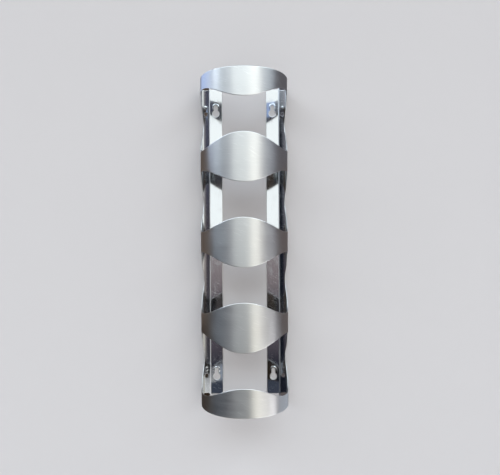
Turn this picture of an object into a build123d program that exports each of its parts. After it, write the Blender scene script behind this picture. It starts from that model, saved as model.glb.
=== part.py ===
"""Wall rack that holds four bottles lying across it, one above the other.

The rack is formed from one stainless steel sheet. The sheet is rolled into a barrel that bulges away from the wall,
and both of its long edges are bent inwards into flat flanges that lie on the wall. Four windows go right round the
barrel's front and sides, so that what is left is five bands joined by a rail down each side. A bottle lies in each
window, and keyholes in the flanges hang the rack on four wall screws.

Row frame: +Z up along the rack, +X to the right as one faces the rack, and the wall is the plane Y = 0 with the rack
in front of it, towards -Y. The origin is the middle of the four keyholes' round holes.
"""

from build123d import *
import os
from math import cos, pi, radians, sin, sqrt

# ---- Driving dimensions, mm ----

SHEET = 1.0  # thickness of the steel

WIDTH = 123.0  # across the barrel, outside
DEPTH = 94.0  # from the wall to the front of the barrel, outside
BEND_R = 3.0  # outside radius of the bend between barrel and flange

WINDOWS = 4  # one for each bottle
WINDOW_SIDE_H = 84.0  # height of a window at the rack's sides
WINDOW_FRONT_H = 46.0  # height of a window at the middle of the front
WINDOW_WAVE_ANGLE = 70.0  # degrees from the front at which a window reaches its side height
WINDOW_WAIST = 16.5  # from the wall to the middle of a window's rear edge
WINDOW_CORNER_R = 9.0  # radius of a window's rear corners
WEB_H = 28.0  # height of the bands between two windows, at the rack's sides
END_WEB_H = 20.0  # height of the top and bottom bands, at the rack's sides

FLANGE_W = 18.1  # flat width of each flange, from its free edge to the bend
FLANGE_SETBACK = 4.0  # each flange stops this far short of the rack's ends
FLANGE_CORNER_R = 4.0  # radius of the flanges' free corners

KEYHOLE_ENTRY_D = 9.5  # round hole that passes over a screw's head
KEYHOLE_SLOT_W = 4.5  # slot that then slides down over its shank
KEYHOLE_TRAVEL = 10.0  # from the round hole's centre up to the centre of the slot's end
KEYHOLE_EDGE = 9.6  # from a flange's free edge to its keyholes
TOP_KEYHOLE_INSET = 40.0  # from the rack's top end to the upper round holes
BOTTOM_KEYHOLE_INSET = 30.0  # from the rack's bottom end to the lower round holes

WAVE_STEPS = 8  # equal steps along each half wave of a window's outline

# ---- Sizes worked out from them ----

RADIUS = WIDTH / 2  # of the barrel, outside
AXIS_Y = RADIUS - DEPTH  # the barrel's axis stands this far in front of the wall
PITCH = WINDOW_SIDE_H + WEB_H
LENGTH = WINDOWS * WINDOW_SIDE_H + (WINDOWS - 1) * WEB_H + 2 * END_WEB_H
KEYHOLE_RISE = LENGTH - TOP_KEYHOLE_INSET - BOTTOM_KEYHOLE_INSET
KEYHOLE_Z = {"upper": KEYHOLE_RISE / 2, "lower": -KEYHOLE_RISE / 2}
BOTTOM_Z = KEYHOLE_Z["lower"] - BOTTOM_KEYHOLE_INSET
TOP_Z = BOTTOM_Z + LENGTH
BEND_X = sqrt((RADIUS - BEND_R) ** 2 - (AXIS_Y + BEND_R) ** 2)  # where the flat flange ends and the bend begins
FREE_EDGE_X = BEND_X - FLANGE_W
KEYHOLE_X = FREE_EDGE_X + KEYHOLE_EDGE
SIDE_CUT_REACH = (RADIUS - SHEET) * cos(radians(WINDOW_WAVE_ANGLE)) - AXIS_Y - SHEET  # windows are full height here
WINDOW_Z = [BOTTOM_Z + END_WEB_H + WINDOW_SIDE_H / 2 + n * PITCH for n in range(WINDOWS)]
CLEAR = 10.0  # cutting tools stand this far proud of what they cut
BAND_NAMES = ["bottom_band", "lower_band", "middle_band", "upper_band", "top_band"]


def sheet_section():
    """The rack's section across its length: a barrel of sheet, open at the wall between the two flanges."""
    barrel = Pos(0, AXIS_Y) * Circle(RADIUS)
    in_front_of_wall = Pos(0, -DEPTH) * Rectangle(2 * WIDTH, 2 * DEPTH)
    outside = barrel & in_front_of_wall
    outside = fillet(outside.vertices().sort_by(Axis.Y)[-2:], BEND_R)
    inside = offset(outside, -SHEET)
    return outside - inside - Rectangle(2 * FREE_EDGE_X, 4 * SHEET)


def wave(start, end, steps=WAVE_STEPS):
    """Points along half a cosine wave from start to end, level at both."""
    turns = [step / steps for step in range(steps + 1)]
    return [(turn, start + (end - start) * (1 - cos(turn * pi)) / 2) for turn in turns]


def front_outline():
    """A window seen from the front: its height swells in one smooth wave from the middle of the front to each side."""
    heights = wave(WINDOW_FRONT_H / 2, WINDOW_SIDE_H / 2)
    crest = [((RADIUS - SHEET) * sin(radians(turn * WINDOW_WAVE_ANGLE)), height) for turn, height in heights]
    corner = (RADIUS + CLEAR, WINDOW_SIDE_H / 2)
    edges = [
        Line((0, 0), crest[0]),
        Spline(crest, tangents=[(1, 0), (1, 0)]),
        Polyline(crest[-1], corner, (corner[0], 0), (0, 0)),
    ]
    return both_ways(both_ways(make_face(edges), Plane.YZ), Plane.XZ)


def side_outline():
    """A window's rear part seen from the side: X is the distance from the wall, and Y is up."""
    depths = wave(WINDOW_WAIST, -AXIS_Y)
    rear = [(depth, turn * WINDOW_SIDE_H / 2) for turn, depth in depths]
    corner = (SIDE_CUT_REACH, WINDOW_SIDE_H / 2)
    edges = [
        Spline(rear, tangents=[(0, 1), (0, 1)]),
        Polyline(rear[-1], corner, (corner[0], 0), rear[0]),
    ]
    outline = make_face(edges)
    outline = fillet(outline.vertices().sort_by(Axis.Y)[-2:].sort_by(Axis.X)[0], WINDOW_CORNER_R)
    return both_ways(outline, Plane.XZ)


def both_ways(face, plane):
    """A face joined to its mirror image."""
    return face + mirror(face, about=plane)


def window(z):
    """The tool that cuts one window, with its middle at height z."""
    front = extrude(Plane.XZ.offset(SIDE_CUT_REACH - SHEET) * front_outline(), DEPTH)
    side = Plane(origin=(0, 0, 0), x_dir=(0, -1, 0), z_dir=(1, 0, 0)) * side_outline()
    return Pos(0, 0, z) * (front + extrude(side, RADIUS + CLEAR, both=True))


def keyhole(side, z):
    """The tool that cuts one keyhole: a round hole with a narrow slot that runs up from it."""
    seat_r = KEYHOLE_SLOT_W / 2
    slot = Pos(0, KEYHOLE_TRAVEL / 2) * Rectangle(KEYHOLE_SLOT_W, KEYHOLE_TRAVEL)
    shape = Circle(KEYHOLE_ENTRY_D / 2) + slot + Pos(0, KEYHOLE_TRAVEL) * Circle(seat_r)
    return Pos(side * KEYHOLE_X, 0, z) * extrude(Plane.XZ * shape, 2 * SHEET, both=True)


def block(x, y, z):
    """A box between the given pairs of limits."""
    size = [high - low for low, high in (x, y, z)]
    middle = [(high + low) / 2 for low, high in (x, y, z)]
    return Pos(*middle) * Box(*size)


def mounting_flange(sheet, side):
    """The flat strip that lies on the wall, from its free edge to the bend, with its two keyholes."""
    x = sorted((side * FREE_EDGE_X, side * BEND_X))
    z = (BOTTOM_Z + FLANGE_SETBACK, TOP_Z - FLANGE_SETBACK)
    flange = sheet & block(x, (-SHEET, SHEET), z)
    free = [
        edge
        for edge in flange.edges().filter_by(Axis.Y)
        if abs(abs(edge.center().X) - FREE_EDGE_X) < SHEET / 2
    ]
    flange = fillet(free, FLANGE_CORNER_R)
    for height in KEYHOLE_Z.values():
        flange -= keyhole(side, height)
    return flange


def side_rail(sheet, side):
    """The strip that runs the whole height of the rack at its side, from the bend to the barrel's widest line."""
    x = sorted((side * BEND_X, side * (RADIUS + CLEAR)))
    return sheet & block(x, (AXIS_Y, CLEAR), (BOTTOM_Z - CLEAR, TOP_Z + CLEAR))


def band(sheet, number):
    """The half-round band below window number, counted from the bottom, or above the last one."""
    edges = [BOTTOM_Z - CLEAR, *WINDOW_Z, TOP_Z + CLEAR]
    across = (-RADIUS - CLEAR, RADIUS + CLEAR)
    return sheet & block(across, (-DEPTH - CLEAR, AXIS_Y), edges[number : number + 2])


def rack():
    """Every region of the sheet by its name. Neighbours meet face to face."""
    sheet = Pos(0, 0, BOTTOM_Z) * extrude(sheet_section(), LENGTH)
    for z in WINDOW_Z:
        sheet -= window(z)
    pieces = {}
    for name, side in (("left", -1), ("right", 1)):
        pieces[f"{name}_mounting_flange"] = mounting_flange(sheet, side)
        pieces[f"{name}_side_rail"] = side_rail(sheet, side)
    for number, name in enumerate(band_names()):
        pieces[name] = band(sheet, number)
    return pieces


def band_names():
    """The bands' names from the bottom up. With another number of windows, the ones between the ends are numbered."""
    if WINDOWS + 1 == len(BAND_NAMES):
        return BAND_NAMES
    return [BAND_NAMES[0], *[f"band_{n}" for n in range(1, WINDOWS)], BAND_NAMES[-1]]


os.makedirs("parts", exist_ok=True)
for name, piece in rack().items():
    piece.label = name
    export_step(piece, f"parts/{name}.step")
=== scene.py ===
"""Dresses the wall bottle rack: one sheet of stainless steel, in nine pieces.

The sheet is brushed outside and bright inside, and is followed by two directions. "turn" is the
angle round the barrel from the middle of its front, and goes on through the bend to 180 degrees at
the flange. "height" is the frame's Z. Depth is counted from the outer skin.
"""

from math import acos, asin, atan2, copysign, cos, degrees, hypot, pi, radians, sin, sqrt, tan

import bpy
from bpy.props import FloatProperty, FloatVectorProperty, PointerProperty
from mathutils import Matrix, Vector
from mathutils.geometry import delaunay_2d_cdt


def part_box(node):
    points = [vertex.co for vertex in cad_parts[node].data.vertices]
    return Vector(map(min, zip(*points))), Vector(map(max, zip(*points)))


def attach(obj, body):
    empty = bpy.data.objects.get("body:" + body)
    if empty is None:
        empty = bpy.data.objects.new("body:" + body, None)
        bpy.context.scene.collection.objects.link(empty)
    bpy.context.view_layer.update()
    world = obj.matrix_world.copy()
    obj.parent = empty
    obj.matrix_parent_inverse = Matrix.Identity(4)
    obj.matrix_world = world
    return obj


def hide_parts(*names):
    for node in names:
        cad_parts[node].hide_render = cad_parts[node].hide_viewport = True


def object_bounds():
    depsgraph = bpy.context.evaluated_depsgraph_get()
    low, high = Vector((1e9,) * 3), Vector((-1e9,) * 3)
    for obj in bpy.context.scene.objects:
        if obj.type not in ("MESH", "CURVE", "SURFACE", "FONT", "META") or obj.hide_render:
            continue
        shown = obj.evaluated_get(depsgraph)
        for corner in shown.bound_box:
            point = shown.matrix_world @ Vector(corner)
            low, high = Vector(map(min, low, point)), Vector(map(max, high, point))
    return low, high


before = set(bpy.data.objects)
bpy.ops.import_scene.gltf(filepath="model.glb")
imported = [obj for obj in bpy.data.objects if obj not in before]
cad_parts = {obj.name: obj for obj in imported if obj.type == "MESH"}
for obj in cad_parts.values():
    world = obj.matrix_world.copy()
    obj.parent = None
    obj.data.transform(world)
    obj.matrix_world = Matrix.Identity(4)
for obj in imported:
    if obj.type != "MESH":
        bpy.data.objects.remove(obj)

bl_info = {
    "name": "Wall bottle rack",
    "version": (1, 0, 0),
    "blender": (4, 5, 0),
    "location": "3D View > Sidebar > Bottle rack",
    "description": "Builds the formed steel sheet of a wall bottle rack, and a studio round it",
    "category": "Object",
}

MM = 0.001
CAD_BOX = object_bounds()
SIDES = {"left": -1, "right": 1}
BANDS = ["bottom_band", "lower_band", "middle_band", "upper_band", "top_band"]
RAIL_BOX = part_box("right_side_rail")
FLANGE_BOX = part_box("right_mounting_flange")
BAND_BOXES = [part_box(name) for name in BANDS]

# What the frame says of the sheet, in metres.
RADIUS = (CAD_BOX[1][0] - CAD_BOX[0][0]) / 2
AXIS_Y = RAIL_BOX[0][1]
BOTTOM, TOP = CAD_BOX[0][2], CAD_BOX[1][2]
BEND_X = FLANGE_BOX[1][0]
FREE_X = FLANGE_BOX[0][0]
FLANGE_BOTTOM, FLANGE_TOP = FLANGE_BOX[0][2], FLANGE_BOX[1][2]
WINDOWS = [(below[1][2] + above[0][2]) / 2 for below, above in zip(BAND_BOXES, BAND_BOXES[1:])]
FRONT_GAP = BAND_BOXES[1][0][2] - BAND_BOXES[0][1][2]

# How finely the sheet is drawn, in steps.
RIM_STEPS = 6  # from a skin to the middle of a rounded rim
BAND_ROWS = 8  # up a band
FRONT_STEPS = 60  # round a band, from the front's middle to a window's rounded corner
CORNER_STEPS = 10  # round that corner
BARREL_STEPS = 14  # round a rail, to the bend
BEND_STEPS = 9  # round the bend
WAIST_STEPS = 34  # up a rail, from a window's middle to its seam with a band
SEAM_STEPS = 6  # just past that seam
WEB_STEPS = 4  # between two windows
FREE_CORNER_STEPS = 8  # round a flange's free corner
ENTRY_STEPS = 36  # round a keyhole's round hole
SEAT_STEPS = 18  # round a slot's end
GRID_COLUMNS = 5  # across a flange
RING_STEPS = 12  # across a raised ring
RING_POINTS = 40  # round a raised ring

# How finely the sheet is measured.
SEARCH_HEIGHTS = 400  # heights tried where a window's rear edge meets its corner
SEARCH_ROUNDS = 40  # halvings of the gap between them
TURN_STEP = 0.0005  # either side of a turn, in radians, for an edge's slope
HEIGHT_STEP = 0.02 * MM  # either side of a height, for an edge's slope
HAIR = 0.01 * MM  # either side of a flange's end, where a rail's free edge begins


def linear(hex_colour):
    """An sRGB hex colour as linear red, green and blue."""
    channels = [int(hex_colour[i : i + 2], 16) / 255 for i in (0, 2, 4)]
    return tuple(c / 12.92 if c <= 0.04045 else ((c + 0.055) / 1.055) ** 2.4 for c in channels)


def length(name, description, default_mm):
    """A length property given in millimetres."""
    return FloatProperty(
        name=name,
        description=description,
        default=default_mm * MM,
        min=0,
        unit="LENGTH",
        subtype="DISTANCE",
        precision=4,
    )


def colour(name, description, hex_colour):
    """A colour property given in sRGB hex."""
    return FloatVectorProperty(
        name=name,
        description=description,
        default=linear(hex_colour),
        min=0,
        max=1,
        subtype="COLOR",
    )


# ---- What a user would change ----


class RackSheet(bpy.types.PropertyGroup):
    """The formed sheet's own sizes."""

    thickness: length(
        "Thickness", "Thickness of the steel", (FLANGE_BOX[1][1] - FLANGE_BOX[0][1]) / MM
    )
    rim_depth: length(
        "Rim depth", "How deep the tumbled rounding of the cut edges goes into the sheet", 0.45
    )
    rim_width: length("Rim width", "How far that rounding reaches in from the edge", 0.75)
    bend: length("Bend radius", "Outside radius between barrel and flange", 3)
    side_height: length("Window height", "Height of a window at the rack's sides", 84)
    waist: length("Window waist", "From the wall to the middle of a window's rear edge", 16.5)
    corner: length("Window corner", "Radius of a window's rear corners", 9)
    springback: FloatProperty(
        name="Springback",
        description="How far the bends have sprung open, which leans the flanges' shine inwards",
        default=radians(4),
        subtype="ANGLE",
    )
    wave_angle: FloatProperty(
        name="Wave angle",
        description="Angle from the front at which a window reaches its side height",
        default=radians(70),
        subtype="ANGLE",
    )


class RackKeyholes(bpy.types.PropertyGroup):
    """The keyholes in the flanges."""

    entry: length("Round hole", "Diameter of the hole that passes over a screw's head", 9.5)
    slot: length("Slot", "Width of the slot that takes a screw's shank", 4.5)
    travel: length("Travel", "From the round hole's centre up to the slot's end", 10)
    edge: length("From the edge", "From a flange's free edge to its keyholes", 9.6)
    top_inset: length("From the top", "From the rack's top end to the upper round holes", 40)
    bottom_inset: length(
        "From the bottom", "From the rack's bottom end to the lower round holes", 30
    )
    boss: length(
        "Boss radius", "Radius of the raised ring that the punch leaves round the slot's end", 5
    )
    boss_rise: length("Boss rise", "How far that ring stands up", 0.3)
    corner: length("Flange corner", "Radius of the flanges' free corners", 4)


class RackFinish(bpy.types.PropertyGroup):
    """The colours of the steel and of the studio."""

    satin: colour("Satin steel", "Brushed outer skin", "C7C6C3")
    bright: colour("Bright steel", "Rolled inner skin", "CFD1D2")
    rim: colour("Rims", "Tumbled edges", "DCDCDA")
    floor: colour("Floor", "Floor and wall of the studio", "CCC5C2")


# ---- Materials ----


def add(tree, kind, settings=(), links=(), **inputs):
    """Adds a node with its settings, its sockets' values, and links as socket: (node, output)."""
    node = tree.nodes.new(kind)
    for name, value in dict(settings).items():
        setattr(node, name, value)
    for name, value in inputs.items():
        node.inputs[name.replace("_", " ")].default_value = value
    for socket, (source, output) in dict(links).items():
        tree.links.new(source.outputs[output], node.inputs[socket])
    return node


def new_material(name):
    """An empty node material and its tree."""
    material = bpy.data.materials.new(name)
    material.use_nodes = True
    material.node_tree.nodes.clear()
    return material, material.node_tree


def shaded(shade, share):
    """A colour made darker or lighter, with nothing let through."""
    return (*[min(1, c * share) for c in shade], 1)


def sheet_grain(tree, along, across, detail=3.0, lean=0.0):
    """A noise stretched into streaks on the sheet, with lengths in mm and lean in degrees."""
    place = add(tree, "ShaderNodeUVMap", {"uv_map": "sheet"})
    turned = add(
        tree, "ShaderNodeMapping", links={"Vector": (place, "UV")}, Rotation=(0, 0, radians(lean))
    )
    stretch = add(
        tree,
        "ShaderNodeMapping",
        links={"Vector": (turned, "Vector")},
        Scale=(1 / (along * MM), 1 / (across * MM), 1),
    )
    return add(
        tree, "ShaderNodeTexNoise", links={"Vector": (stretch, "Vector")}, Scale=1.0, Detail=detail
    )


MID = {"From_Min": 0.3, "From_Max": 0.7}  # most of a noise's values lie between these


def satin_brushed_stainless(finish):
    """Stainless steel brushed round the barrel with a fine belt, then handled.

    The brush lines run round the rack, so highlights stretch up and down it in soft upright bars.
    The lines are about 0.2 mm apart on the real sheet. Here they are drawn 1.1 mm apart, so that
    they show. Fingers leave faint clouds, and bottles leave a few fine scratches, 0.1 mm wide on
    the real sheet and drawn 0.35 mm wide.
    """
    material, tree = new_material("satin_brushed_stainless")
    lines = sheet_grain(tree, along=70, across=1.1)
    clouds = sheet_grain(tree, along=34, across=22, detail=2)
    nicks = sheet_grain(tree, along=24, across=0.35, detail=1, lean=24)
    rough = add(
        tree, "ShaderNodeMapRange", links={"Value": (lines, "Fac")}, **MID, To_Min=0.35, To_Max=0.42
    )
    worn = add(
        tree,
        "ShaderNodeMapRange",
        links={"Value": (clouds, "Fac")},
        **MID,
        To_Min=-0.025,
        To_Max=0.03,
    )
    total = add(
        tree, "ShaderNodeMath", {"operation": "ADD"}, {0: (rough, "Result"), 1: (worn, "Result")}
    )
    rare = add(
        tree, "ShaderNodeMapRange", links={"Value": (nicks, "Fac")}, From_Min=0.67, From_Max=0.73
    )
    shade = add(tree, "ShaderNodeMapRange", links={"Value": (lines, "Fac")}, **MID)
    tone = add(tree, "ShaderNodeMix", {"data_type": "RGBA"}, {"Factor": (shade, "Result")})
    tone.inputs["A"].default_value = shaded(finish.satin, 0.96)
    tone.inputs["B"].default_value = shaded(finish.satin, 1.03)
    scored = add(
        tree,
        "ShaderNodeMix",
        {"data_type": "RGBA"},
        {"Factor": (rare, "Result"), "A": (tone, "Result")},
    )
    scored.inputs["B"].default_value = shaded(finish.satin, 1.4)
    ridges = add(
        tree, "ShaderNodeBump", links={"Height": (lines, "Fac")}, Strength=0.10, Distance=0.02 * MM
    )
    round_rack = add(tree, "ShaderNodeTangent", {"direction_type": "RADIAL", "axis": "Z"})
    shader = add(
        tree,
        "ShaderNodeBsdfPrincipled",
        links={
            "Base Color": (scored, "Result"),
            "Roughness": (total, "Value"),
            "Normal": (ridges, "Normal"),
            "Tangent": (round_rack, "Tangent"),
        },
        Metallic=1.0,
        Anisotropic=0.5,
        Anisotropic_Rotation=0.25,
    )
    add(tree, "ShaderNodeOutputMaterial", links={"Surface": (shader, "BSDF")})
    return material


CREASE_DULLNESS = 0.28  # what the bend's stretched skin adds to the roughness


def bright_rolled_stainless(finish, crease):
    """Stainless steel as it leaves bright rolling, on the rack's inner skin.

    It mirrors what is round it, with edges softened a little, and the sheet's slight waves bend
    what it mirrors. Fingers leave dull smears on it, and screws and bottles a few pale scratches,
    0.1 mm wide on the real sheet and drawn 0.4 mm wide. Its rolling lines run up the rack. They are
    too fine to see on the real sheet, and drawn 1.3 mm apart. In the bend the stretched skin is
    rougher, and shines as a pale upright line. crease is how far along the sheet the bend starts
    and ends, from the front's middle.
    """
    material, tree = new_material("bright_rolled_stainless")
    waves = sheet_grain(tree, along=26, across=55, detail=1)
    lines = sheet_grain(tree, along=1.3, across=90)
    smears = sheet_grain(tree, along=9, across=16, detail=3)
    nicks = sheet_grain(tree, along=18, across=0.4, detail=1, lean=-28)
    fine = add(
        tree,
        "ShaderNodeMapRange",
        links={"Value": (lines, "Fac")},
        **MID,
        To_Min=0.055,
        To_Max=0.105,
    )
    dull = add(
        tree,
        "ShaderNodeMapRange",
        links={"Value": (smears, "Fac")},
        From_Min=0.5,
        From_Max=0.72,
        To_Min=0.0,
        To_Max=0.09,
    )
    scored = add(
        tree,
        "ShaderNodeMapRange",
        links={"Value": (nicks, "Fac")},
        From_Min=0.68,
        From_Max=0.73,
        To_Min=0.0,
        To_Max=0.25,
    )
    skin = add(
        tree, "ShaderNodeMath", {"operation": "ADD"}, {0: (fine, "Result"), 1: (dull, "Result")}
    )
    face = add(
        tree, "ShaderNodeMath", {"operation": "ADD"}, {0: (skin, "Value"), 1: (scored, "Result")}
    )
    place = add(tree, "ShaderNodeUVMap", {"uv_map": "sheet"})
    parts = add(tree, "ShaderNodeSeparateXYZ", links={"Vector": (place, "UV")})
    along = add(tree, "ShaderNodeMath", {"operation": "ABSOLUTE"}, {0: (parts, "X")})
    creased = add(tree, "ShaderNodeMath", {"operation": "COMPARE"}, {0: (along, "Value")})
    creased.inputs[1].default_value = (crease[0] + crease[1]) / 2
    creased.inputs[2].default_value = (crease[1] - crease[0]) / 2
    rough = add(
        tree,
        "ShaderNodeMath",
        {"operation": "MULTIPLY_ADD"},
        {0: (creased, "Value"), 2: (face, "Value")},
    )
    rough.inputs[1].default_value = CREASE_DULLNESS
    bent = add(
        tree, "ShaderNodeBump", links={"Height": (waves, "Fac")}, Strength=0.35, Distance=0.25 * MM
    )
    shader = add(
        tree,
        "ShaderNodeBsdfPrincipled",
        links={"Roughness": (rough, "Value"), "Normal": (bent, "Normal")},
        Metallic=1.0,
    )
    shader.inputs["Base Color"].default_value = shaded(finish.bright, 1)
    add(tree, "ShaderNodeOutputMaterial", links={"Surface": (shader, "BSDF")})
    return material


def tumbled_stainless_rim(finish):
    """Laser-cut edges of the sheet, tumbled until they are round and smooth.

    They catch the light as fine lines. The tumbling leaves faint dents, drawn 3 mm wide.
    """
    material, tree = new_material("tumbled_stainless_rim")
    dents = sheet_grain(tree, along=3, across=3)
    rough = add(
        tree, "ShaderNodeMapRange", links={"Value": (dents, "Fac")}, **MID, To_Min=0.28, To_Max=0.38
    )
    shader = add(
        tree, "ShaderNodeBsdfPrincipled", links={"Roughness": (rough, "Result")}, Metallic=1.0
    )
    shader.inputs["Base Color"].default_value = shaded(finish.rim, 1)
    add(tree, "ShaderNodeOutputMaterial", links={"Surface": (shader, "BSDF")})
    return material


STEEL = {}
SATIN, BRIGHT, RIM = range(3)


def steel(finish, form):
    """The sheet's three finishes, in the order of the material numbers."""
    if not STEEL:
        STEEL[SATIN] = satin_brushed_stainless(finish)
        STEEL[BRIGHT] = bright_rolled_stainless(finish, (form.bend_start, form.bend_end))
        STEEL[RIM] = tumbled_stainless_rim(finish)
    return [STEEL[number] for number in (SATIN, BRIGHT, RIM)]


# ---- The sheet's form ----


class Form:
    """The rack's section and windows, worked out once from the sizes."""

    def __init__(self, sheet):
        for name in RackSheet.__annotations__:
            setattr(self, name, getattr(sheet, name))
        self.side_half = self.side_height / 2
        self.front_half = FRONT_GAP / 2
        self.middle_radius = RADIUS - self.thickness / 2
        self.bend_turn = pi / 2 + atan2(-self.bend - AXIS_Y, BEND_X)
        self.bend_start = RADIUS * self.bend_turn
        self.bend_end = self.bend_start + self.bend * (pi - self.bend_turn)
        self.corner_reach = self.find_corner_reach()
        self.seam_half = self.corner_height(-AXIS_Y)

    def skin(self, turn):
        """The outer skin at a turn, as its place across the rack, the way out of the steel, the way
        that its shine faces, and how far along the sheet it is from the front's middle."""
        normal = Vector((sin(turn), -cos(turn), 0))
        around = abs(turn)
        if around <= self.bend_turn:
            return Vector((0, AXIS_Y, 0)) + RADIUS * normal, normal, normal, RADIUS * turn
        side = 1 if turn > 0 else -1
        past = around - self.bend_turn
        at = Vector((side * BEND_X, -self.bend, 0)) + self.bend * normal
        facing = turn - side * self.springback * past / (pi - self.bend_turn)
        along = side * (self.bend_start + self.bend * past)
        return at, normal, Vector((sin(facing), -cos(facing), 0)), along

    def rear_reach(self, height):
        """How far a window's rear edge stands from the wall, at a height from its middle."""
        share = (1 - cos(pi * height / self.side_half)) / 2
        return self.waist + (-AXIS_Y - self.waist) * share

    def find_corner_reach(self):
        """How far from the wall a rounded rear corner's centre stands, so that it meets the edge.

        It also keeps the height at which the two meet.
        """
        centre_height = self.side_half - self.corner
        low, high = -AXIS_Y, -AXIS_Y + 2 * self.corner
        heights = [self.side_half * n / SEARCH_HEIGHTS for n in range(SEARCH_HEIGHTS + 1)]
        for _ in range(SEARCH_ROUNDS):
            reach = (low + high) / 2
            gap = min(hypot(reach - self.rear_reach(h), centre_height - h) for h in heights)
            low, high = (reach, high) if gap < self.corner else (low, reach)
        self.touch_height = min(
            heights, key=lambda h: hypot(low - self.rear_reach(h), centre_height - h)
        )
        return low

    def corner_height(self, reach):
        """Half the window's height in its rounded corner, at a distance from the wall."""
        across = min(self.corner, self.corner_reach - reach)
        return self.side_half - self.corner + sqrt(self.corner**2 - across**2)

    def edge_reach(self, height):
        """How far a window's rear edge stands from the wall, with its corner rounded."""
        height = abs(height)
        if height <= self.touch_height:
            return self.rear_reach(height)
        up = height - (self.side_half - self.corner)
        return self.corner_reach - sqrt(max(0, self.corner**2 - up**2))

    def edge_turn(self, height):
        """The turn of a window's rear edge."""
        return acos((self.edge_reach(height) + AXIS_Y) / self.middle_radius)

    def half_window(self, turn):
        """Half a window's height at a turn, on the barrel's front half."""
        reach = -AXIS_Y + self.middle_radius * cos(turn)
        if reach < self.corner_reach:
            return self.corner_height(reach)
        across = self.middle_radius * abs(sin(turn)) / (RADIUS - self.thickness)
        share = min(1, asin(min(1, across)) / self.wave_angle)
        return self.front_half + (self.side_half - self.front_half) * (1 - cos(pi * share)) / 2


# ---- Meshes ----


class Shell:
    """A closed mesh gathered point by point, with each point's normal and place on the sheet."""

    def __init__(self):
        self.points, self.normals, self.places = [], [], []
        self.faces, self.finishes, self.flats = [], [], []

    def point(self, at, normal, place):
        """Keeps a point, and gives its number."""
        self.points.append(tuple(at))
        self.normals.append(tuple(normal.normalized()))
        self.places.append(place)
        return len(self.points) - 1

    def face(self, corners, finish, flat=False):
        """Keeps a face. A flat one is shaded by its own plane, and not by its corners' normals."""
        self.faces.append(tuple(corners))
        self.finishes.append(finish)
        self.flats.append(flat)

    def build(self, name, node, form, finish):
        """Makes the mesh object, which rides on the rack's body in its CAD node's place."""
        mesh = bpy.data.meshes.new(name)
        mesh.from_pydata(self.points, [], self.faces)
        mesh.polygons.foreach_set("material_index", self.finishes)
        mesh.polygons.foreach_set("use_smooth", [True] * len(self.faces))
        mesh.uv_layers.new(name="sheet")
        layer = mesh.uv_layers["sheet"].data
        for loop in mesh.loops:
            layer[loop.index].uv = self.places[loop.vertex_index]
        for material in steel(finish, form):
            mesh.materials.append(material)
        mesh.update()
        split = []
        for polygon, flat in zip(mesh.polygons, self.flats):
            own = tuple(polygon.normal)
            split += [own if flat else self.normals[v] for v in polygon.vertices]
        mesh.normals_split_custom_set(split)
        piece = bpy.data.objects.new(name, mesh)
        bpy.context.scene.collection.objects.link(piece)
        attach(piece, "root")
        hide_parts(node)


def rim_profile(form):
    """Round a cut edge from the outer skin to the inner, as half an ellipse.

    Each entry is (depth, inset from the edge, the normal's outward part, its edgeward part).
    """
    angles = [pi / 2 * n / RIM_STEPS for n in range(RIM_STEPS + 1)]
    entries = []
    for way, steps in ((1, angles), (-1, angles[::-1])):
        for angle in steps:
            depth = form.rim_depth * (1 - cos(angle))
            depth = depth if way > 0 else form.thickness - depth
            inset = form.rim_width * (1 - sin(angle))
            out, edge = form.rim_width * cos(angle), form.rim_depth * sin(angle)
            size = hypot(out, edge)
            entries.append((depth, inset, way * out / size, edge / size))
    return entries


def stitch(shell, rings, finishes, cut=()):
    """Joins each ring of points to the next with quads. finishes go with the gap after each point.

    Faces whose corners are all in cut lie in a seam, and stay flat.
    """
    count = len(rings[0])
    for a, b in zip(rings, rings[1:]):
        for k in range(count):
            n = (k + 1) % count
            corners = (a[k], b[k], b[n], a[n])
            shell.face(corners, finishes[k], all(corner in cut for corner in corners))


def ring_finishes(skin_points, profile):
    """The finish of the gap after each point of a ring: outer skin, rim, inner skin, rim."""
    rim = [RIM] * (len(profile) - 1)
    return [SATIN] * skin_points + rim + [BRIGHT] * (skin_points + 1) + rim + [SATIN]


def cap(shell, ring, turned):
    """Closes a ring whose first half faces its second half, point for point."""
    count = len(ring)
    for k in range(count // 2 - 1):
        corners = [ring[k], ring[k + 1], ring[count - 2 - k], ring[count - 1 - k]]
        shell.face(corners[::-1] if turned else corners, RIM, True)


def band_turns(form):
    """The turns at which a band has its stations, closer together at a window's rounded corner."""
    reach = form.corner_reach + AXIS_Y
    corner_turn = acos(reach / form.middle_radius)
    front = [corner_turn * n / FRONT_STEPS for n in range(-FRONT_STEPS, FRONT_STEPS + 1)]
    last = asin(min(1, reach / form.corner))
    across = [form.corner * sin(last * n / CORNER_STEPS) for n in range(1, CORNER_STEPS + 1)]
    side = [acos((reach - step) / form.middle_radius) for step in across]
    side[-1] = pi / 2
    return [-turn for turn in reversed(side)] + front + side


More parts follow.
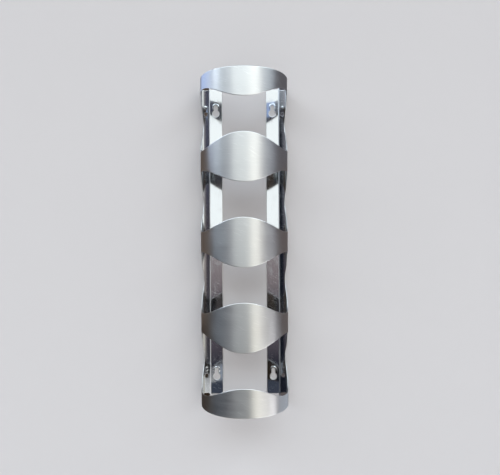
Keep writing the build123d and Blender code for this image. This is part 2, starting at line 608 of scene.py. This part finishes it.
def band_shell(form, low_edge, high_edge):
    """A band between two edges, each a function from turn to height."""
    shell = Shell()
    rings = []
    profile = rim_profile(form)
    for turn in band_turns(form):
        at, normal, _, along = form.skin(turn)
        ahead = Vector((cos(turn), sin(turn), 0))
        ends = []
        for edge in (low_edge, high_edge):
            before = max(-pi / 2, turn - TURN_STEP)
            after = min(pi / 2, turn + TURN_STEP)
            slope = (edge(after) - edge(before)) / (RADIUS * (after - before))
            ends.append((edge(turn), slope, hypot(1, slope)))
        ring = []

        def place(depth, height, direction):
            """Adds a point of the ring, at a depth and a height."""
            spot = at - normal * depth + Vector((0, 0, height))
            ring.append(shell.point(spot, direction, (along, height)))

        (low, low_slope, low_stretch), (high, high_slope, high_stretch) = ends
        bottom = low + form.rim_width * low_stretch
        top = high - form.rim_width * high_stretch
        for row in range(1, BAND_ROWS):
            place(0, bottom + (top - bottom) * row / BAND_ROWS, normal)
        upward = (Vector((0, 0, 1)) - ahead * high_slope) / high_stretch
        for depth, inset, out, edge in profile:
            place(depth, high - inset * high_stretch, normal * out + upward * edge)
        for row in range(BAND_ROWS - 1, 0, -1):
            place(form.thickness, bottom + (top - bottom) * row / BAND_ROWS, -normal)
        downward = (ahead * low_slope - Vector((0, 0, 1))) / low_stretch
        for depth, inset, out, edge in reversed(profile):
            place(depth, low + inset * low_stretch, normal * out + downward * edge)
        rings.append(ring)
    stitch(shell, rings, ring_finishes(BAND_ROWS - 1, profile))
    start = BAND_ROWS - 1 + len(profile) // 2
    for ring, turned in ((rings[0], False), (rings[-1], True)):
        cap(shell, ring[start:] + ring[:start], turned)
    return shell


def band_edges(form, number):
    """A band's lower and upper edge, as functions from turn to height."""
    def low(turn):
        return BOTTOM if number == 0 else WINDOWS[number - 1] + form.half_window(turn)

    def high(turn):
        return TOP if number == len(WINDOWS) else WINDOWS[number] - form.half_window(turn)

    return low, high


def rail_heights(form):
    """The heights at which a rail has its stations, closer together at windows and at the ends."""
    rounding = [form.rim_width * (1 - cos(pi / 2 * n / RIM_STEPS)) for n in range(RIM_STEPS + 1)]
    heights = [BOTTOM + rise for rise in rounding] + [TOP - rise for rise in rounding]
    past = 2 * form.rim_width
    for middle in WINDOWS:
        heights += [
            middle + form.seam_half * n / WAIST_STEPS for n in range(-WAIST_STEPS, WAIST_STEPS + 1)
        ]
        steps = [form.seam_half + past * n / SEAM_STEPS for n in range(1, SEAM_STEPS + 1)]
        heights += [middle + way * step for step in steps for way in (-1, 1)]
    breaks = [BOTTOM + form.rim_width]
    breaks += [middle + way * (form.seam_half + past) for middle in WINDOWS for way in (-1, 1)]
    breaks += [TOP - form.rim_width]
    for start, end in zip(breaks[::2], breaks[1::2]):
        heights += [start + (end - start) * n / WEB_STEPS for n in range(1, WEB_STEPS)]
    for end in (FLANGE_BOTTOM, FLANGE_TOP):
        heights += [end - HAIR, end + HAIR]
    return sorted(heights)


def rail_shell(form, side):
    """A rail, from the barrel's widest line or a window's edge to the end of the bend."""
    shell = Shell()
    rings = []
    cut = set()
    profile = rim_profile(form)
    for height in rail_heights(form):
        offset = height - min(WINDOWS, key=lambda middle: abs(height - middle))
        turn, slope = pi / 2 - 1, 0.0  # anywhere on a band, where the rail ends in a seam
        if abs(offset) < form.side_half - 2 * HEIGHT_STEP:
            turn = form.edge_turn(offset)
            gain = form.edge_turn(offset + HEIGHT_STEP) - form.edge_turn(offset - HEIGHT_STEP)
            slope = gain * RADIUS / (2 * HEIGHT_STEP)
        stretch = hypot(1, slope)
        from_end = min(height - BOTTOM, TOP - height)
        lean = min(1, max(0, 1 - from_end / form.rim_width))
        level = sqrt(1 - lean**2)
        shrink = form.rim_depth * (1 - level)
        upright = Vector((0, 0, copysign(lean * form.rim_depth / form.rim_width, height)))
        free = 0.0 if FLANGE_BOTTOM < height < FLANGE_TOP else 1.0
        ring = []

        def place(at_turn, depth, out, edgeward=None, edge=0.0):
            """Adds a point of the ring, at a turn and a depth, and gives its number."""
            at, normal, facing, along = form.skin(at_turn)
            depth = shrink + depth * (1 - 2 * shrink / form.thickness)
            direction = facing * out * level + upright
            if edgeward is not None:
                direction = direction + edgeward * edge
            at = at - normal * depth + Vector((0, 0, height))
            at.x, direction.x = side * at.x, side * direction.x
            ring.append(shell.point(at, direction, (side * along, height)))
            return ring[-1]

        first = max(pi / 2, turn + form.rim_width * stretch / RADIUS)
        middle = form.bend_turn
        last = pi - free * form.rim_width / form.bend
        turns = [first + (middle - first) * n / BARREL_STEPS for n in range(1, BARREL_STEPS)]
        turns += [middle + (last - middle) * n / BEND_STEPS for n in range(BEND_STEPS)]
        for at_turn in turns:
            place(at_turn, 0, 1)
        for depth, pull, out, edge in profile:
            number = place(pi - free * pull / form.bend, depth, out, Vector((-1, 0, 0)), edge)
            if not free:
                cut.add(number)
        for at_turn in reversed(turns):
            place(at_turn, form.thickness, -1)
        toward = (Vector((-cos(turn), -sin(turn), 0)) + Vector((0, 0, slope))) / stretch
        for depth, pull, out, edge in reversed(profile):
            at_turn = turn + pull * stretch / RADIUS
            number = place(max(pi / 2, at_turn), depth, out, toward, edge)
            if at_turn <= pi / 2:
                cut.add(number)
        rings.append(ring)
    skin_points = BARREL_STEPS - 1 + BEND_STEPS
    stitch(shell, rings[::-side], ring_finishes(skin_points, profile), cut)
    start = skin_points + len(profile) // 2
    for ring, turned in ((rings[0], side > 0), (rings[-1], side < 0)):
        cap(shell, ring[start:] + ring[:start], turned)
    return shell


def arc(centre, radius, start, end, steps):
    """Points on an arc, each with the way from its centre. Angles are degrees from +X to +Z."""
    for n in range(steps + 1):
        angle = radians(start + (end - start) * n / steps)
        way = (cos(angle), sin(angle))
        yield (centre[0] + radius * way[0], centre[1] + radius * way[1]), way


def straight(start, end, step):
    """Points between two ends, about a step apart, without the ends."""
    count = max(2, round(hypot(end[0] - start[0], end[1] - start[1]) / step))
    for n in range(1, count):
        yield start[0] + (end[0] - start[0]) * n / count, start[1] + (end[1] - start[1]) * n / count


EDGE_STEP = 8 * MM  # between points on a flange's long edges
SLOT_STEP = 1 * MM  # between points on a slot's sides


def flange_outline(keys):
    """The flange's edge as (point, way out of the steel, is it free). X is from its free edge."""
    width, low, high = BEND_X - FREE_X, FLANGE_BOTTOM, FLANGE_TOP
    r, step = keys.corner, EDGE_STEP
    loop = [((width, low), (0, -1), 1.0)]
    loop += [(p, (0, -1), 1.0) for p in straight((width, low), (r, low), step / 2)]
    loop += [(p, way, 1.0) for p, way in arc((r, low + r), r, 270, 180, FREE_CORNER_STEPS)]
    loop += [(p, (-1, 0), 1.0) for p in straight((0, low + r), (0, high - r), step)]
    loop += [(p, way, 1.0) for p, way in arc((r, high - r), r, 180, 90, FREE_CORNER_STEPS)]
    loop += [(p, (0, 1), 1.0) for p in straight((r, high), (width, high), step / 2)]
    loop += [((width, high), (0, 1), 1.0)]
    loop += [(p, (1, 0), 0.0) for p in straight((width, high), (width, low), step)]
    return loop


def keyhole_outline(keys, centre):
    """A keyhole's edge as (point, way into the hole, is it free)."""
    entry, slot = keys.entry / 2, keys.slot / 2
    x, z = centre
    neck = degrees(asin(slot / entry))
    seat = (x, z + keys.travel)
    throat = z + entry * cos(radians(neck))
    round_hole = arc(centre, entry, 90 + neck, 450 - neck, ENTRY_STEPS)
    right = straight((x + slot, throat), (x + slot, seat[1]), SLOT_STEP)
    left = straight((x - slot, seat[1]), (x - slot, throat), SLOT_STEP)
    loop = [(p, (-way[0], -way[1]), 1.0) for p, way in round_hole]
    loop += [(p, (-1, 0), 1.0) for p in right]
    loop += [(p, (-way[0], -way[1]), 1.0) for p, way in arc(seat, slot, 0, 180, SEAT_STEPS)]
    loop += [(p, (1, 0), 1.0) for p in left]
    return loop


def inside(point, loop):
    """Whether a point lies inside a closed loop of points."""
    within = False
    for (ax, az), (bx, bz) in zip(loop, loop[1:] + loop[:1]):
        if (az > point[1]) != (bz > point[1]):
            if point[0] < (bx - ax) * (point[1] - az) / (bz - az) + ax:
                within = not within
    return within


RING_LEVEL = 0.84  # a raised ring's level part, as a share of its radius
TINY = 1e-6  # keeps a slope finite at a ring's very centre
SAME_POINT = 1e-9  # nearer than this, two points are one


def in_steel(point, hems):
    """Whether a point lies in a flange's outline and outside its keyholes."""
    return inside(point, hems[0]) and not any(inside(point, hem) for hem in hems[1:])


def flange_shell(form, keys, side):
    """A flange: two flat skins with keyholes in them and a raised ring round each slot's end."""
    shell = Shell()
    centres = [(keys.edge, BOTTOM + keys.bottom_inset), (keys.edge, TOP - keys.top_inset)]
    seats = [(x, z + keys.travel) for x, z in centres]
    ramp = keys.boss - RING_LEVEL * keys.boss

    def rise(x, z):
        """The raised ring's height and its slope in X and Z. Its side is a smooth step."""
        for cx, cz in seats:
            away = hypot(x - cx, z - cz)
            if away < keys.boss:
                share = min(1, max(0, (keys.boss - away) / ramp))
                height = keys.boss_rise * share * share * (3 - 2 * share)
                steep = -keys.boss_rise * 6 * share * (1 - share) / ramp / max(away, TINY)
                return height, steep * (x - cx), steep * (z - cz)
        return 0.0, 0.0, 0.0

    def place(point, depth, out=1.0, way=(0, 0), edge=0.0):
        """A point of the flange. Depth runs from its back, which is the sheet's outer skin."""
        x, z = point
        up, slope_x, slope_z = rise(x, z)
        facing = Vector((slope_x + tan(form.springback), 1, slope_z)).normalized()
        normal = facing * out + Vector((way[0], 0, way[1])) * edge
        at = Vector((side * (FREE_X + x), -depth - up, z))
        normal.x *= side
        return shell.point(at, normal, (side * (form.bend_end + BEND_X - FREE_X - x), z))

    profile = rim_profile(form)
    outer = flange_outline(keys)
    loops = [outer] + [keyhole_outline(keys, centre) for centre in centres]
    skins = {"back": [], "front": []}
    for loop in loops:
        rings = []
        for point, way, free in loop:
            ring = []
            for depth, pull, out, edge in profile:
                moved = (point[0] - way[0] * pull * free, point[1] - way[1] * pull * free)
                ring.append(place(moved, depth, out, way, edge))
            rings.append(ring)
        skins["back"].append([ring[0] for ring in rings])
        skins["front"].append([ring[-1] for ring in rings])
        next_rings, next_stations = rings[1:] + rings[:1], loop[1:] + loop[:1]
        for a, b, start, end in zip(rings, next_rings, loop, next_stations):
            seam = not (start[2] and end[2])
            for k in range(len(profile) - 1):
                corners = [a[k], a[k + 1], b[k + 1], b[k]]
                shell.face(corners[::-1] if side < 0 else corners, RIM, seam)
    extra = flange_grid(form, keys, centres, seats)
    sides = (("back", 0.0, 1.0, SATIN), ("front", form.thickness, -1.0, BRIGHT))
    for skin, depth, out, finish in sides:
        numbers, flat, edges, hems = [], [], [], []
        for ring in skins[skin]:
            start = len(numbers)
            hem = [(side * shell.points[n][0] - FREE_X, shell.points[n][2]) for n in ring]
            edges += [(start + k, start + (k + 1) % len(ring)) for k in range(len(ring))]
            numbers += ring
            flat += hem
            hems.append(hem)
        for point in extra:
            if in_steel(point, hems):
                flat.append(point)
                numbers.append(place(point, depth, out))
        result = delaunay_2d_cdt([Vector(p) for p in flat], edges, [], 0, SAME_POINT)
        found, triangles, origins = result[0], result[2], result[3]
        for triangle in triangles:
            if in_steel([sum(found[v][axis] for v in triangle) / 3 for axis in (0, 1)], hems):
                corners = [numbers[origins[v][0]] for v in triangle]
                turned = (out > 0) == (side > 0)
                shell.face(corners[::-1] if turned else corners, finish)
    return shell


ROW_STEP = 6 * MM  # between the rows of a flange's grid
RING_CLEAR = 1.2 * MM  # the least from a raised ring to the grid
RIM_CLEAR = 0.25 * MM  # the least from a keyhole's rim to a ring's point
RING_START = 0.3 * MM  # from the slot's rim to the innermost ring of points


def flange_grid(form, keys, centres, seats):
    """Points inside the flange: a coarse grid, and rings of points for each raised ring."""
    width, low, high = BEND_X - FREE_X, FLANGE_BOTTOM, FLANGE_TOP
    slot = keys.slot / 2 + form.rim_width
    entry = keys.entry / 2 + form.rim_width
    points = []
    rows = round((high - low) / ROW_STEP)
    for row in range(1, rows):
        z = low + (high - low) * row / rows
        for column in range(1, GRID_COLUMNS):
            x = width * column / GRID_COLUMNS
            if all(hypot(x - cx, z - cz) > keys.boss + RING_CLEAR for cx, cz in centres + seats):
                points.append((x, z))
    for cx, cz in seats:
        for ring in range(RING_STEPS + 1):
            radius = slot + RING_START + (keys.boss - slot) * ring / RING_STEPS
            for n in range(RING_POINTS):
                angle = 2 * pi * (n + 0.5 * (ring % 2)) / RING_POINTS
                point = (cx + radius * cos(angle), cz + radius * sin(angle))
                hole = (point[0] - cx, point[1] - cz + keys.travel)
                beside_slot = abs(hole[0]) < slot + RIM_CLEAR and hole[1] < keys.travel
                if not beside_slot and hypot(*hole) > entry + RIM_CLEAR:
                    points.append(point)
    return points


# ---- Operators ----


class RACK_OT_bands(bpy.types.Operator):
    """Build the five bands across the front of the barrel"""

    bl_idname = "rack.bands"
    bl_label = "Bands"

    def execute(self, context):
        scene = context.scene
        form = Form(scene.rack_sheet)
        for number, node in enumerate(BANDS):
            shell = band_shell(form, *band_edges(form, number))
            shell.build(f"formed_{node}", node, form, scene.rack_finish)
        return {"FINISHED"}


class RACK_OT_side_rails(bpy.types.Operator):
    """Build the two rails that join the bands at the rack's sides"""

    bl_idname = "rack.side_rails"
    bl_label = "Side rails"

    def execute(self, context):
        scene = context.scene
        form = Form(scene.rack_sheet)
        for name, side in SIDES.items():
            node = f"{name}_side_rail"
            shell = rail_shell(form, side)
            shell.build(f"formed_{node}", node, form, scene.rack_finish)
        return {"FINISHED"}


class RACK_OT_mounting_flanges(bpy.types.Operator):
    """Build the two flat flanges with their keyholes"""

    bl_idname = "rack.mounting_flanges"
    bl_label = "Mounting flanges"

    def execute(self, context):
        scene = context.scene
        form = Form(scene.rack_sheet)
        for name, side in SIDES.items():
            node = f"{name}_mounting_flange"
            shell = flange_shell(form, scene.rack_keyholes, side)
            shell.build(f"formed_{node}", node, form, scene.rack_finish)
        return {"FINISHED"}


# ---- Studio ----


def slab(name, corners, material):
    """A flat stage piece from its four corners."""
    mesh = bpy.data.meshes.new(name)
    mesh.from_pydata(corners, [], [tuple(range(len(corners)))])
    mesh.materials.append(material)
    piece = bpy.data.objects.new(name, mesh)
    bpy.context.scene.collection.objects.link(piece)
    return piece


def standing(limits, y):
    """The corners of an upright slab that faces out from the wall."""
    left, right, low, high = limits
    return [(left, y, low), (right, y, low), (right, y, high), (left, y, high)]


def clear_from_back(tree, surface):
    """A surface that can be seen through from its back."""
    back = add(tree, "ShaderNodeNewGeometry")
    clear = add(tree, "ShaderNodeBsdfTransparent")
    links = {0: (back, "Backfacing"), 1: surface, 2: (clear, "BSDF")}
    return add(tree, "ShaderNodeMixShader", links=links), "Shader"


def matt_paint(name, shade, one_sided=False):
    """Matt wall paint: even and pale, with hardly any gloss.

    One-sided paint is clear from the back, so that a view from behind the wall sees the rack.
    """
    material, tree = new_material(name)
    grain = add(tree, "ShaderNodeTexNoise", Scale=60.0, Detail=4.0)
    rough = add(
        tree, "ShaderNodeMapRange", links={"Value": (grain, "Fac")}, **MID, To_Min=0.85, To_Max=0.95
    )
    paint = add(tree, "ShaderNodeBsdfPrincipled", links={"Roughness": (rough, "Result")})
    paint.inputs["Base Color"].default_value = shaded(shade, 1)
    paint.inputs["Specular IOR Level"].default_value = 0.1
    surface = (paint, "BSDF")
    if one_sided:
        surface = clear_from_back(tree, surface)
    add(tree, "ShaderNodeOutputMaterial", links={"Surface": surface})
    return material


def glowing_card(name, light):
    """A card with an even glow on its front. From the back it is clear."""
    material, tree = new_material(name)
    glow = add(tree, "ShaderNodeEmission", Color=(*light, 1))
    surface = clear_from_back(tree, (glow, "Emission"))
    add(tree, "ShaderNodeOutputMaterial", links={"Surface": surface})
    return material


def soft_window(tree, azimuth, elevation, limits, softness, light):
    """A soft-edged patch of light on the sky.

    limits are its sides in degrees: left, right, low, high. softness is half the width of its soft
    sides, and of its soft top and bottom.
    """
    left, right, low, high = limits
    sides, ends = softness
    gates = [
        (azimuth, left, sides, 1),
        (azimuth, right, sides, -1),
        (elevation, low, ends, 1),
        (elevation, high, ends, -1),
    ]
    product = None
    for angle, edge, soft, way in gates:
        gate = add(
            tree,
            "ShaderNodeMapRange",
            {"interpolation_type": "SMOOTHSTEP"},
            {"Value": (angle, "Value")},
            From_Min=radians(edge - soft),
            From_Max=radians(edge + soft),
            To_Min=0.0 if way > 0 else 1.0,
            To_Max=1.0 if way > 0 else 0.0,
        )
        if product is None:
            product = (gate, "Result")
        else:
            both = {0: product, 1: (gate, "Result")}
            joined = add(tree, "ShaderNodeMath", {"operation": "MULTIPLY"}, both)
            product = (joined, "Value")
    tinted = add(tree, "ShaderNodeVectorMath", {"operation": "SCALE"}, {"Scale": product})
    tinted.inputs[0].default_value = light
    return tinted


# Soft patches of light, each with its sides in degrees (left, right, low, high), its softness and
# its colour. Azimuth 0 is straight out in front of the rack, and grows to its right. The patches
# lie over each other, and their light adds up.
SOFTBOXES = [
    ((-100, 100, 28, 50), (8, 4), (3.2, 3.7, 4.1)),
    ((-30, 42, -1, 28), (7, 1.5), (1.26, 1.35, 1.34)),
    ((12, 55, -13, 28), (6, 2), (0.26, 0.23, 0.20)),
    ((17, 40, -30, -4), (4, 2), (0.76, 0.74, 0.62)),
    ((17, 40, -4, 14), (4, 2), (0.62, 0.62, 0.57)),
    ((34, 50, -17, -11), (4, 1.2), (0.4, 0.39, 0.36)),
    ((-100, -30, 14, 28), (8, 2), (0.50, 0.53, 0.58)),
    ((-97, -68, 18.5, 28), (6, 2), (3.45, 4.0, 4.9)),
    ((-58, -32, 2, 14), (6, 2), (0.14, 0.15, 0.17)),
    ((28, 105, -55, -26), (8, 4), (2.45, 2.45, 2.4)),
    ((42, 105, -30, -15.5), (6, 1.2), (1.2, 1.2, 1.2)),
    ((74, 112, -38, -20), (5, 1.5), (1.8, 1.8, 2.05)),
    ((42, 100, 4, 28), (8, 3), (0.0, 0.02, 0.06)),
    ((-50, 100, -13, 28), (8, 2), (0.11, 0.09, 0.10)),
    ((-30, 55, -6, -1), (8, 1.5), (0.17, 0.14, 0.13)),
    ((-30, 28, -30, -15.5), (8, 1), (0.05, 0.06, 0.08)),
    ((-45, 28, -130, -50), (10, 8), (1.02, 0.97, 0.90)),
    ((-100, -45, -130, -50), (10, 8), (0.40, 0.33, 0.25)),
]
ROOM = (0.016, 0.019, 0.032)  # the dim room round them
BEHIND = (0.80, 0.80, 0.80)  # behind the wall, which only a view from the back sees
BACKDROP = (0.62, 0.62, 0.62)  # where the camera looks past the wall
BEHIND_BLEND = 0.25  # how far behind the wall's plane the room gives way, as a ray's share of +Y

# Cards that only the steel mirrors, just in front of the wall, each with its name, its sides in
# metres (left, right, low, high) and its glow.
CARDS = [
    ("low_left", (-2.5, 0, -2.5, -0.12), (0.045, 0.03, 0.02)),
    ("high_left", (-2.5, 0, -0.12, 2.5), (0.14, 0.105, 0.085)),
    ("low_right", (0, 2.5, -2.5, 0.12), (0.162, 0.138, 0.138)),
    ("high_right", (0, 2.5, 0.12, 2.5), (0.147, 0.143, 0.165)),
    ("cool", (-0.24, -0.09, 0.2, 0.6), (0.72, 0.92, 1.42)),
    ("cool_far", (-0.9, -0.24, 0.2, 0.62), (1.2, 1.45, 1.95)),
    ("pale", (0.08, 0.6, -0.6, -0.2), (0.55, 0.60, 0.70)),
]


def paint_sky(scene):
    """Draws the studio's light on the sky: a dim room with softboxes in it.

    Where the camera itself looks, the sky is plain grey.
    """
    world = bpy.data.worlds.new("studio_light")
    scene.world = world
    world.use_nodes = True
    tree = world.node_tree
    tree.nodes.clear()
    way = add(tree, "ShaderNodeTexCoord")
    parts = add(tree, "ShaderNodeSeparateXYZ", links={"Vector": (way, "Generated")})
    forward = add(tree, "ShaderNodeMath", {"operation": "MULTIPLY"}, {0: (parts, "Y")})
    forward.inputs[1].default_value = -1.0
    sideways = {0: (parts, "X"), 1: (forward, "Value")}
    azimuth = add(tree, "ShaderNodeMath", {"operation": "ARCTAN2"}, sideways)
    elevation = add(tree, "ShaderNodeMath", {"operation": "ARCSINE"}, {0: (parts, "Z")})
    depth = add(
        tree,
        "ShaderNodeMapRange",
        {"interpolation_type": "SMOOTHSTEP"},
        {"Value": (parts, "Y")},
        From_Min=0.0,
        From_Max=BEHIND_BLEND,
    )
    room = add(tree, "ShaderNodeMix", {"data_type": "VECTOR"}, {"Factor": (depth, "Result")})
    room.inputs["A"].default_value = ROOM
    room.inputs["B"].default_value = BEHIND
    total = (room, "Result")
    for limits, softness, light in SOFTBOXES:
        patch = soft_window(tree, azimuth, elevation, limits, softness, light)
        both = {0: total, 1: (patch, "Vector")}
        summed = add(tree, "ShaderNodeVectorMath", {"operation": "ADD"}, both)
        total = (summed, "Vector")
    seen = add(tree, "ShaderNodeLightPath")
    chosen = add(
        tree,
        "ShaderNodeMix",
        {"data_type": "VECTOR"},
        {"Factor": (seen, "Is Camera Ray"), "A": total},
    )
    chosen.inputs["B"].default_value = BACKDROP
    light = add(tree, "ShaderNodeBackground", links={"Color": (chosen, "Result")})
    add(tree, "ShaderNodeOutputWorld", links={"Surface": (light, "Background")})


# The stage and the camera, in metres.
STAGE_REACH = 2.5  # from the rack to the floor's and the wall's far ends
FLOOR_Z = -0.42
WALL_TOP_Z = 1.6
WALL_Y = -0.3 * MM  # just in front of the flanges' backs, so that no gap shows
CARD_GAP = 0.01 * MM  # from each card to the next
CAMERA_SPOT = (8 * MM, -744 * MM, 6 * MM)  # from the middle of the rack's height
CAMERA_ROLL = 0.25  # degrees
CAMERA_LENS = 36  # mm, on a sensor as wide
HIDDEN_FROM = ("camera", "diffuse", "shadow", "transmission", "volume_scatter")


class RACK_OT_studio(bpy.types.Operator):
    """Set the pale floor and wall, the soft light and the camera"""

    bl_idname = "rack.studio"
    bl_label = "Studio"

    def execute(self, context):
        scene = context.scene
        shade = tuple(scene.rack_finish.floor)
        near, far = -STAGE_REACH, STAGE_REACH
        floor = slab(
            "studio_floor",
            [(x, y, FLOOR_Z) for x, y in ((near, near), (far, near), (far, far), (near, far))],
            matt_paint("matt_floor_paint", shade),
        )
        wall = slab(
            "studio_wall",
            standing((near, far, FLOOR_Z, WALL_TOP_Z), WALL_Y),
            matt_paint("matt_wall_paint", shade, one_sided=True),
        )
        for piece in (floor, wall):
            piece.visible_glossy = False
        for number, (name, limits, light) in enumerate(CARDS):
            glow = glowing_card(f"{name}_card", light)
            card = slab(f"studio_{name}_card", standing(limits, WALL_Y - CARD_GAP * number), glow)
            for ray in HIDDEN_FROM:
                setattr(card, f"visible_{ray}", False)
        paint_sky(scene)
        scene.view_settings.view_transform = "Standard"
        camera = bpy.data.cameras.new("camera")
        camera.lens = CAMERA_LENS
        camera.sensor_width = CAMERA_LENS
        viewer = bpy.data.objects.new("camera", camera)
        across, out, up = CAMERA_SPOT
        viewer.location = (across, out, (BOTTOM + TOP) / 2 + up)
        viewer.rotation_euler = (pi / 2, radians(CAMERA_ROLL), 0)
        scene.collection.objects.link(viewer)
        scene.camera = viewer
        return {"FINISHED"}


class RACK_PT_sidebar(bpy.types.Panel):
    """The rack's sizes, finishes and builders"""

    bl_label = "Bottle rack"
    bl_space_type = "VIEW_3D"
    bl_region_type = "UI"
    bl_category = "Bottle rack"

    def draw(self, context):
        layout = self.layout
        for place in GROUPS:
            group = getattr(context.scene, place)
            box = layout.box()
            for name in group.__annotations__:
                box.prop(group, name)
        for operator in OPERATORS:
            layout.operator(operator.bl_idname)


GROUPS = {"rack_sheet": RackSheet, "rack_keyholes": RackKeyholes, "rack_finish": RackFinish}
OPERATORS = (RACK_OT_bands, RACK_OT_side_rails, RACK_OT_mounting_flanges, RACK_OT_studio)


def register():
    """Adds the classes and hangs the property groups on the scene."""
    for group in (*GROUPS.values(), *OPERATORS, RACK_PT_sidebar):
        bpy.utils.register_class(group)
    for name, group in GROUPS.items():
        setattr(bpy.types.Scene, name, PointerProperty(type=group))


def unregister():
    """Takes the property groups and the classes away again."""
    for name in GROUPS:
        delattr(bpy.types.Scene, name)
    for group in (RACK_PT_sidebar, *OPERATORS, *reversed(GROUPS.values())):
        bpy.utils.unregister_class(group)


def main():
    register()
    bpy.ops.rack.bands()
    bpy.ops.rack.side_rails()
    bpy.ops.rack.mounting_flanges()
    bpy.ops.rack.studio()


if __name__ == "__main__":
    main()
